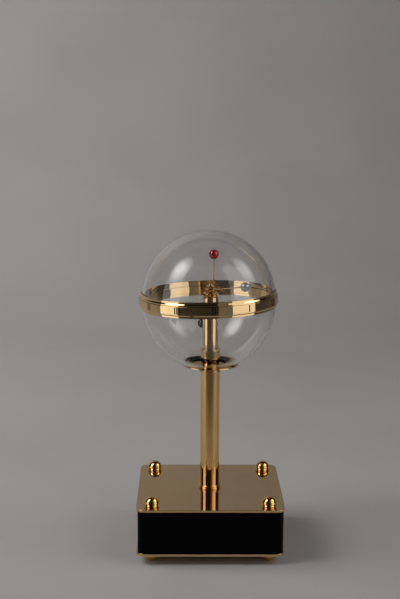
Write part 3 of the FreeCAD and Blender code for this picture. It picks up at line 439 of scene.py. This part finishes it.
# clear sphere: two thick-walled halves, each a closed shell; the ring's web stands between their edges
def half_shell(name, node, sign, zc):
    n = 72
    top = math.pi / 2
    outer, inner = [], []
    a_out = top if sign > 0 else math.acos(16.0 / 50.0)
    a_in = top if sign > 0 else math.acos(10.0 / 48.0)
    for k in range(n + 1):
        a = a_out * k / n
        outer.append((50.0 * math.cos(a) if a < top - 1e-9 else 0.0, zc + sign * max(0.02, 49.985 * math.sin(a))))
    for k in range(n, -1, -1):
        a = a_in * k / n
        inner.append((48.0 * math.cos(a) if a < top - 1e-9 else 0.0, zc + sign * max(0.02, 48.0 * math.sin(a))))
    bm = bmesh.new()
    lathe(bm, outer + inner, segs=192)
    bmesh.ops.remove_doubles(bm, verts=bm.verts, dist=1e-8)
    bm.transform(LEAN)
    if sign < 0:                                # cut off level, to stand in the dish
        cut_ = bmesh.ops.bisect_plane(bm, geom=bm.verts[:] + bm.edges[:] + bm.faces[:], dist=1e-7,
                                      plane_co=(0, 0, (Z_SEAT + 0.03) * MM), plane_no=(0, 0, 1), clear_inner=True)
        rim_ = [e for e in bm.edges if e.is_boundary]
        bmesh.ops.bridge_loops(bm, edges=rim_)
    return finish_mesh(name, mesh_from(bm, name), "clear_plastic", "base", [node], sharp=40)


half_shell("upper_globe", "upper_hemisphere", 1, Z_EDGE_HIGH)
half_shell("lower_globe", "lower_hemisphere", -1, Z_EDGE_LOW)

# hour ring: the numeral band between two retaining rings with sloping shoulders, leaning a little to the left
zb0, zb1 = Z_BAND - 2.9, Z_BAND + 2.9
zt0, zt1 = Z_EDGE_LOW, Z_EDGE_HIGH
turned("band_polished", [soften([(48.02, zt0 + 0.02, 0.1), (51.0, zt0 + 0.02, 0), (51.0, zb0 + 0.02, 0), (52.15, zb0 + 0.02, 0.14),
                                 (52.15, zb1 - 0.02, 0.14), (51.0, zb1 - 0.02, 0), (51.0, zt1 - 0.02, 0), (48.02, zt1 - 0.02, 0.1)], 0.05)],
       "polished_brass", "base", ["numeral_band"], segs=256, move=LEAN)
turned("lower_lip", [soften([(50.07, zt0 - 0.02, 0.08), (50.07, zb0 - 2.8, 0.1), (50.88, zb0 - 2.8, 0.22), (50.88, zb0 - 1.4, 0.12),
                             (51.48, zb0 - 0.6, 0.12), (51.48, zb0 - 0.02, 0.05), (51.02, zb0 - 0.02, 0), (51.02, zt0 - 0.02, 0)], 0.08)],
       "polished_brass", "base", ["lower_ring"], segs=256, move=LEAN)
turned("upper_lip", [soften([(50.07, zt1 + 0.02, 0.08), (51.02, zt1 + 0.02, 0), (51.02, zb1 + 0.02, 0), (51.48, zb1 + 0.02, 0.05),
                             (51.48, zb1 + 1.0, 0.14), (50.88, zb1 + 2.0, 0.14), (50.88, zb1 + 3.43, 0.24), (50.07, zb1 + 3.43, 0.1)], 0.08)],
       "polished_brass", "base", ["upper_ring"], segs=256, move=LEAN)

# hubs and spindle cap
zh = Z_MID + 1.8
turned("hour_hub_polished", [soften([(2.0, zh), (5.5, zh, 0.3), (5.9, zh + 0.5, 0.2), (5.9, zh + 2.1, 0.3), (5.2, zh + 2.5, 0.2), (2.0, zh + 2.5)], 0.05)],
       "polished_brass", "hour_hand", ["hour_hub"], segs=96)
zh2 = zh + 3.0
turned("minute_hub_polished", [soften([(1.3, zh2), (4.1, zh2, 0.3), (4.5, zh2 + 0.5, 0.2), (4.5, zh2 + 2.1, 0.3), (3.9, zh2 + 2.5, 0.2), (1.3, zh2 + 2.5)], 0.05)],
       "polished_brass", "minute_hand", ["minute_hub"], segs=96)
zh3 = zh2 + 3.0
turned("seconds_hub_polished", [soften([(0.6, zh3), (3.2, zh3, 0.3), (3.5, zh3 + 0.35, 0.2), (3.5, zh3 + 1.3, 0.3), (3.1, zh3 + 1.6, 0.1),
                                        (1.6, zh3 + 2.05, 0.3), (1.3, zh3 + 2.9, 0.25), (0.7, zh3 + 3.4, 0.2), (0.0, zh3 + 3.48, 0),
                                        (0.0, zh3 + 2.6, 0), (0.6, zh3 + 2.6, 0)], 0.05)],
       "polished_brass", "seconds_hand", ["seconds_hub"], segs=64)


def at(azimuth, reach, z):
    a = math.radians(azimuth)
    return Vector((reach * math.sin(a), -reach * math.cos(a), z))


def wire_piece(name, points, radius, body, node, bend=3.0):
    """Round wire through the points, with a drawn bend at each knee."""
    path = [points[0]]
    for i in range(1, len(points) - 1):
        P, A, B = points[i], points[i - 1], points[i + 1]
        u, v = (A - P).normalized() * bend, (B - P).normalized() * bend
        for k in range(9):
            s = k / 8
            path.append((P + u) * (1 - s) ** 2 + P * 2 * s * (1 - s) + (P + v) * s ** 2)
    path.append(points[-1])
    bm = bmesh.new()
    rings = []
    side = None
    for i, p in enumerate(path):
        d = (path[min(i + 1, len(path) - 1)] - path[max(i - 1, 0)]).normalized()
        if side is None:
            side = d.orthogonal().normalized()
        side = (side - d * side.dot(d)).normalized()
        up = d.cross(side)
        rings.append([bm.verts.new((p + side * radius * math.cos(2 * math.pi * k / 20) + up * radius * math.sin(2 * math.pi * k / 20)) * MM) for k in range(20)])
    for a, b_ in zip(rings, rings[1:]):
        for k in range(20):
            bm.faces.new((a[k], a[(k + 1) % 20], b_[(k + 1) % 20], b_[k]))
    bm.faces.new(rings[0][::-1])
    bm.faces.new(rings[-1])
    return finish_mesh(name, mesh_from(bm, name), "brass_wire", body, [node])


def bead_piece(name, centre, toward, mat, body, node, r=3.8):
    """A bead with a small drilled collar where its wire goes in."""
    axis = (toward - centre).normalized()
    q = Vector((0, 0, 1)).rotation_difference(axis).to_matrix().to_4x4()
    lip = math.radians(82.0)
    pts = [(0.0, -r)] + [(r * math.cos(a), r * math.sin(a)) for a in
           [math.radians(-90) + (lip + math.radians(90)) * k / 40 for k in range(1, 41)]]
    pts += [(0.50, r * math.sin(lip) - 0.02), (0.47, r * math.sin(lip) - 0.35), (0.0, r * math.sin(lip) - 0.4)]
    bm = bmesh.new()
    lathe(bm, pts, segs=64, closed=False)
    me = mesh_from(bm, name)
    me.transform(Matrix.Translation(centre * MM) @ q)
    return finish_mesh(name, me, mat, body, [node], sharp=50)


h_end = at(-169.31, 30.73, Z_MID - 25.2)
h_in, h_knee = at(-169.31, 3.7, zh + 1.25), at(-169.31, 12.0, zh + 1.25)
wire_piece("hour_wire", [h_in, h_knee, h_end], 0.45, "hour_hand", "hour_arm", bend=2.2)
bead_piece("hour_bead", h_end, h_knee, "blue_bead", "hour_hand", "hour_ball")
m_end = at(131.08, 36.22, Z_MID + 4.6)
m_in = at(131.08, 2.7, zh2 + 1.4)
wire_piece("minute_wire", [m_in, m_end], 0.45, "minute_hand", "minute_arm")
bead_piece("minute_bead", m_end, m_in, "grey_bead", "minute_hand", "minute_ball")
s_in, s_knee, s_end = at(170.17, 1.8, zh3 + 1.0), at(170.17, 15.22, zh3 + 1.0), at(170.17, 15.22, Z_MID + 31.2)
wire_piece("seconds_wire_drawn", [s_in, s_knee, s_end], 0.449, "seconds_hand", "seconds_wire", bend=1.4)
bead_piece("seconds_bead", s_end, s_knee, "red_bead", "seconds_hand", "seconds_ball")

# ------------------------------------------------------------------ numerals: serifed Roman figures wrapped on the band
NH = 5.0
ADV = {"I": 1.67, "V": 3.3, "X": 3.3}


def numeral_shapes(text):
    out, u = [], 0.0
    h = NH / 2
    for c in text:
        a = ADV[c]
        x = u + a / 2
        if c == "I":
            out.append([(x - .465, -h), (x + .465, -h), (x + .465, h), (x - .465, h)])
            for s in (-1, 1):
                out.append([(x - .66, s * h), (x + .66, s * h), (x + .46, s * (h - .3)), (x - .46, s * (h - .3))])
        elif c == "V":
            out.append([(x - 1.5, h), (x - .25, -h), (x + .22, -h), (x - .6, h)])
            out.append([(x + 1.05, h), (x + 1.42, h), (x + .22, -h), (x - .02, -h)])
            out.append([(x - 1.65, h), (x - .4, h), (x - .55, h - .28), (x - 1.42, h - .28)])
            out.append([(x + .8, h), (x + 1.6, h), (x + 1.4, h - .28), (x + .95, h - .28)])
        else:
            out.append([(x - 1.45, h), (x - .55, h), (x + 1.45, -h), (x + .55, -h)])
            out.append([(x + 1.05, h), (x + 1.4, h), (x - 1.05, -h), (x - 1.4, -h)])
            for s in (-1, 1):
                out.append([(x - 1.6 if s > 0 else x + 1.6, s * h), (x - .4 if s > 0 else x + .4, s * h),
                            (x - .6 if s > 0 else x + .6, s * (h - .26)), (x - 1.4 if s > 0 else x + 1.4, s * (h - .26))])
                out.append([(x + .85 if s > 0 else x - .85, s * h), (x + 1.6 if s > 0 else x - 1.6, s * h),
                            (x + 1.4 if s > 0 else x - 1.4, s * (h - .26)), (x + .98 if s > 0 else x - .98, s * (h - .26))])
        u += a
    return [[(px - u / 2, pz) for px, pz in q] for q in out]


bm = bmesh.new()
for hour, text in enumerate(["I", "II", "III", "IV", "V", "VI", "VII", "VIII", "IX", "X", "XI", "XII"], start=1):
    az = math.radians(63.2 - 30.0 * hour)
    for j, quad in enumerate(numeral_shapes(text)):
        faces = []
        for r in (51.98, 52.19 - 0.004 * (j % 3)):
            row = []
            for u, z in quad:
                a = az + u / 52.2
                row.append(bm.verts.new((r * math.sin(a) * MM, -r * math.cos(a) * MM, (Z_BAND + z) * MM)))
            faces.append(row)
        lo, hi = faces
        bm.faces.new(hi)
        bm.faces.new(lo[::-1])
        for k in range(4):
            bm.faces.new((lo[k], lo[(k + 1) % 4], hi[(k + 1) % 4], hi[k]))
me = bpy.data.meshes.new("numerals")
bmesh.ops.recalc_face_normals(bm, faces=bm.faces)
bm.to_mesh(me)
bm.free()
me.transform(LEAN)
finish_mesh("numerals_enamel", me, "black_enamel", "base", ["hour_numerals"], sharp=20)

# ------------------------------------------------------------------ stage, light and camera
def stage_material(name, colour, colour2):
    m, nt, b = new_material(name)
    tone = ramp(nt, noise(nt, 6.0, 2.0), [(0.35, colour), (0.65, colour2)])
    xyz = nt.nodes.new("ShaderNodeSeparateXYZ")      # painted shade: the paper's colour is scaled to a darker tone in front of the clock
    nt.links.new(object_coords(nt), xyz.inputs["Vector"])
    painted_front_shade = nt.nodes.new("ShaderNodeVectorMath")
    painted_front_shade.operation = "SCALE"
    nt.links.new(tone, painted_front_shade.inputs[0])
    nt.links.new(span(nt, xyz.outputs["Y"], 0.42, 1.0, -0.42, -0.15), painted_front_shade.inputs["Scale"])
    nt.links.new(painted_front_shade.outputs["Vector"], b.inputs["Base Color"])
    put(b, Roughness=0.6, Specular_IOR_Level=0.2)
    return m


def sheet_mesh(name, rows):
    """A smooth sheet from rows of points."""
    me = bpy.data.meshes.new(name)
    verts = [p for row in rows for p in row]
    w = len(rows[0])
    faces = [(i * w + j, i * w + j + 1, (i + 1) * w + j + 1, (i + 1) * w + j) for i in range(len(rows) - 1) for j in range(w - 1)]
    me.from_pydata(verts, [], faces)
    for p in me.polygons:
        p.use_smooth = True
    o = bpy.data.objects.new(name, me)
    bpy.context.scene.collection.objects.link(o)
    o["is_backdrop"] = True
    return o


# floor that sweeps up into a backdrop behind
prof = [(-0.22, 0.0), (-0.1, 0.0), (0.3, 0.0), (0.7, 0.0)]
prof += [(0.7 + 0.55 * math.sin(math.radians(a)), 0.55 - 0.55 * math.cos(math.radians(a))) for a in range(10, 91, 10)]
prof += [(1.25, 1.0), (1.25, 2.2)]
sweep = sheet_mesh("paper_sweep", [[(x, y, z) for x in (-2.6, -1.2, 0.0, 1.2, 2.6)] for y, z in prof])
paper = stage_material("paper", (0.470, 0.455, 0.448), (0.498, 0.483, 0.476))
sweep.data.materials.append(paper)
# the front floor shares the paper, so it carries the painted shade at its darkest
front = sheet_mesh("front_floor", [[(x, y, 0.0) for x in (-2.6, 2.6)] for y in (-3.0, -0.2201)])
front.data.materials.append(paper)

world = bpy.data.worlds.new("room")
bpy.context.scene.world = world
world.use_nodes = True
wn = world.node_tree
bg = wn.nodes["Background"]
bg.inputs["Color"].default_value = (0.012, 0.012, 0.012, 1)
bg.inputs["Strength"].default_value = 1.0


def softbox(name, azimuth, distance, width, z0, z1, watts, colour=(1, 1, 1)):
    d = bpy.data.lights.new(name, "AREA")
    d.shape = "RECTANGLE"
    d.size, d.size_y = width, z1 - z0
    d.energy = watts
    d.color = colour
    o = bpy.data.objects.new(name, d)
    a = math.radians(azimuth)
    o.location = (distance * math.sin(a), -distance * math.cos(a), (z0 + z1) / 2)
    o.rotation_euler = (math.radians(90), 0, a)
    bpy.context.scene.collection.objects.link(o)
    return o


softbox("key_left", -67.0, 0.58, 0.341, 0.01, 1.10, 1.24, (1.0, 0.985, 0.96))
softbox("key_right", 57.0, 0.58, 0.426, 0.01, 1.10, 1.44, (1.0, 0.985, 0.96))
softbox("fill_right", 25.0, 0.62, 0.23, 0.01, 1.10, 0.11, (1.0, 0.97, 0.93))


def lamp(name, place, aim, size, size_y, watts, mirrored, colour=(1, 1, 1)):
    """An area light aimed at a point; one that isn't mirrored only lights the paper and the matt surfaces."""
    d = bpy.data.lights.new(name, "AREA")
    d.shape = "RECTANGLE"
    d.size, d.size_y, d.energy, d.color = size, size_y, watts, colour
    o = bpy.data.objects.new(name, d)
    o.location = place
    o.rotation_euler = (Vector(aim) - Vector(place)).to_track_quat("-Z", "Y").to_euler()
    o.visible_glossy = mirrored
    o.visible_transmission = mirrored
    bpy.context.scene.collection.objects.link(o)
    return o


def glow(name, place, aim, w, h, strength, soft=(1.0, 0.25), colour=(1.0, 0.99, 0.975)):
    """A soft panel of light, brightest in the middle and fading out to its edges."""
    me = bpy.data.meshes.new(name)
    me.from_pydata([(-w / 2, -h / 2, 0), (w / 2, -h / 2, 0), (w / 2, h / 2, 0), (-w / 2, h / 2, 0)], [], [(0, 1, 2, 3)])
    o = bpy.data.objects.new(name, me)
    o.location = place
    o.rotation_euler = (Vector(aim) - Vector(place)).to_track_quat("-Z", "Y").to_euler()
    mat = bpy.data.materials.new(name)
    mat.use_nodes = True
    t = mat.node_tree
    t.nodes.clear()
    out = t.nodes.new("ShaderNodeOutputMaterial")
    em = t.nodes.new("ShaderNodeEmission")
    em.inputs["Color"].default_value = (*colour, 1)
    mp = t.nodes.new("ShaderNodeMapping")
    mp.inputs["Scale"].default_value = (2 / w, 2 / h, 1.0)
    t.links.new(object_coords(t), mp.inputs["Vector"])
    ln = t.nodes.new("ShaderNodeVectorMath")
    ln.operation = "LENGTH"
    t.links.new(mp.outputs["Vector"], ln.inputs[0])
    t.links.new(span(t, ln.outputs["Value"], 0.0, strength, soft[0], soft[1]), em.inputs["Strength"])
    t.links.new(em.outputs["Emission"], out.inputs["Surface"])
    me.materials.append(mat)
    bpy.context.scene.collection.objects.link(o)
    o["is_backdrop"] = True
    return o


lamp("wash", (-0.95, -0.20, 1.75), (-0.15, 0.45, 0.10), 1.1, 1.1, 4.6, False)
lamp("backdrop_wash", (-1.00, 0.30, 1.20), (-0.40, 1.25, 0.30), 0.8, 0.8, 8.6, False, (1.0, 0.975, 0.96))
glow("high_left", (-0.66, -0.22, 0.86), (0, 0, 0.19), 0.56, 0.84, 4.4)
glow("high_right", (0.70, -0.06, 0.70), (0, 0, 0.19), 0.44, 0.80, 2.8)

cam = bpy.data.cameras.new("camera")
cam.sensor_width = 36.0
cam.lens = 73.95
cam.clip_start, cam.clip_end = 0.01, 50
co = bpy.data.objects.new("camera", cam)
bpy.context.scene.collection.objects.link(co)
yaw, pitch, roll = math.radians(0.623), math.radians(10.018), math.radians(0.268)
fwd = Vector((math.sin(yaw) * math.cos(pitch), math.cos(yaw) * math.cos(pitch), -math.sin(pitch)))
right = Vector((math.cos(yaw), -math.sin(yaw), 0))
up = right.cross(fwd)
r2 = right * math.cos(roll) + up * math.sin(roll)
u2 = -right * math.sin(roll) + up * math.cos(roll)
R = Matrix((r2, u2, -fwd)).transposed()
co.matrix_world = Matrix.Translation(Vector((-0.01785, -0.9077, 0.3487))) @ R.to_4x4()
bpy.context.scene.camera = co
bpy.context.scene.view_settings.view_transform = "Standard"

lo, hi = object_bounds()
